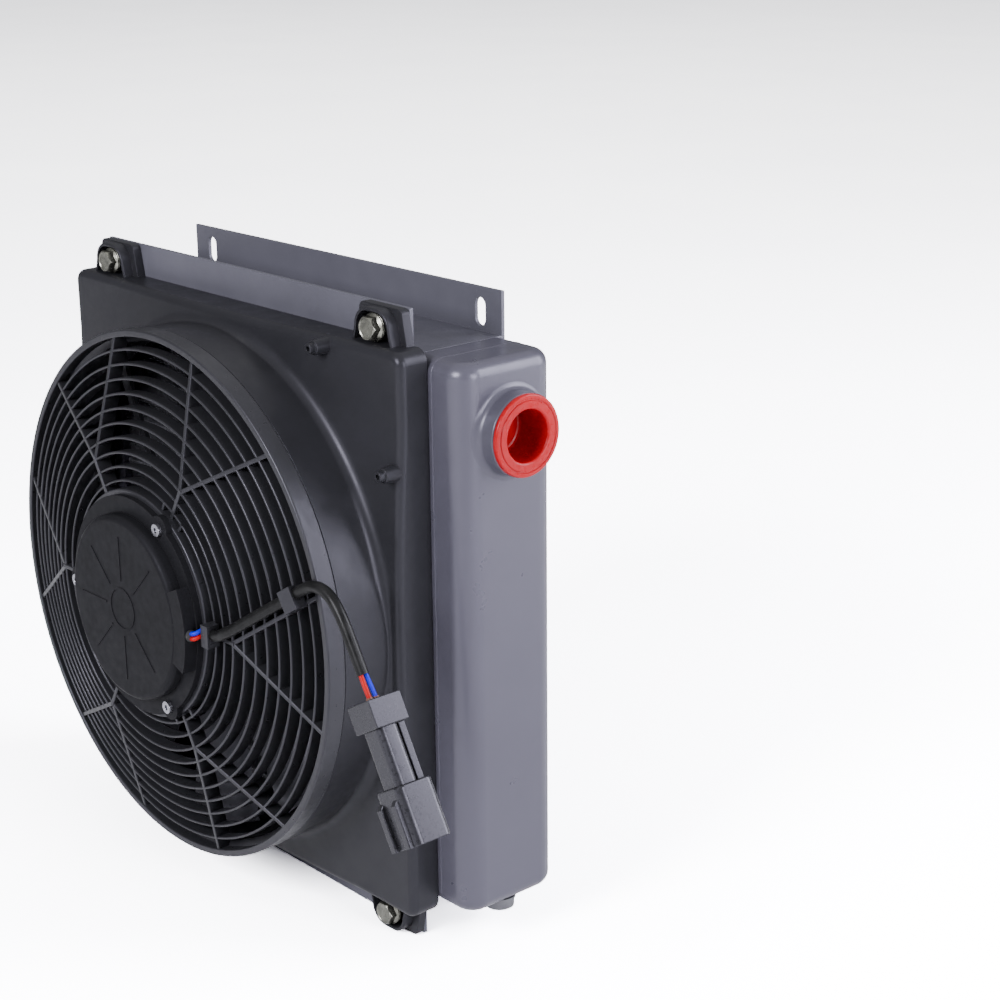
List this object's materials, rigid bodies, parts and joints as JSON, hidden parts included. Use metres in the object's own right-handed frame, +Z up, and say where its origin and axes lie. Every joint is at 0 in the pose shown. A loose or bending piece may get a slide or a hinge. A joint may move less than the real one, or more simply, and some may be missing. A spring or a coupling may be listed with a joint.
{
  "type": "hydraulic oil cooler",
  "caption": "Air-blast oil cooler: finned core between two end tanks, slotted mounting channels, black shroud with a guarded axial DC fan and a short lead.",
  "frame": {"origin": "middle of the footprint, on the surface that the cooler stands on", "axes": "+X from the left tank to the right tank, the fan faces -Y, the mounting face is +Y, +Z is up"},
  "size_m": [0.4826, 0.174, 0.391],
  "materials": {
    "core_aluminium": "brazed mill finish",
    "tank_grey": "satin blue-grey paint",
    "frame_grey": "satin grey paint",
    "red_plastic": "glossy",
    "dark_steel": "dark, oiled",
    "copper": "drawn copper",
    "shroud_plastic": "black moulded plastic with a soft sheen",
    "fan_plastic": "black glass-filled plastic",
    "zinc_steel": "zinc plated with an olive tint",
    "bright_steel": "bright",
    "motor_black": "black satin paint",
    "dark_ferrite": "dull, fired",
    "brush_board": "laminate",
    "black_rubber": "matt",
    "sleeve_black": "woven-look black tubing",
    "red_wire": "insulation",
    "blue_wire": "insulation",
    "connector_plastic": "fine-grained black plastic",
    "seal_rubber": "silicone",
    "terminal_brass": "tin-bright brass"
  },
  "bodies": {
    "cooler": {"core_tubes": "core_aluminium", "core_fins": "core_aluminium", "core_side_plates": "core_aluminium", "left_header": "tank_grey", "right_header": "tank_grey", "left_tank": "tank_grey", "right_tank": "tank_grey", "left_port_boss": "tank_grey", "right_port_boss": "tank_grey", "drain_plugs": "dark_steel", "drain_washers": "dark_steel", "top_channel": "frame_grey", "bottom_channel": "frame_grey", "shroud": "shroud_plastic", "shroud_bolts": "zinc_steel", "shroud_washers": "zinc_steel", "shroud_spacers": "zinc_steel", "shroud_nuts": "zinc_steel", "fan_guard": "fan_plastic", "motor_cover": "motor_black", "motor_can": "motor_black", "motor_screws": "bright_steel", "front_bearing": "bright_steel", "rear_bearing": "bright_steel", "magnets": "dark_ferrite", "brush_plate": "brush_board", "brushes": "dark_ferrite", "lead_grommet": "black_rubber", "cable_clips": "fan_plastic", "red_lead": "red_wire", "blue_lead": "blue_wire", "cable_run": "sleeve_black", "cable_sleeve": "sleeve_black", "red_tail": "red_wire", "blue_tail": "blue_wire", "connector_housing": "connector_plastic", "connector_cap": "connector_plastic", "connector_seals": "seal_rubber", "connector_terminals": "terminal_brass"},
    "fan_rotor": {"impeller": "fan_plastic", "impeller_clip": "bright_steel", "motor_shaft": "bright_steel", "armature_core": "dark_steel", "armature_windings": "copper", "commutator": "copper"},
    "left_plug": {"left_port_plug": "red_plastic"},
    "right_plug": {"right_port_plug": "red_plastic"}
  },
  "joints": [
    {"name": "fan_spin", "type": "hinge", "parent": "cooler", "child": "fan_rotor", "pos_m": [0, -0.035, 0.1955], "axis": [0, 1, 0], "continuous": true},
    {"name": "left_plug_pull", "type": "slide", "parent": "cooler", "child": "left_plug", "axis": [-1, 0, 0], "range_m": [0, 0.03]},
    {"name": "right_plug_pull", "type": "slide", "parent": "cooler", "child": "right_plug", "axis": [1, 0, 0], "range_m": [0, 0.03]}
  ]
}
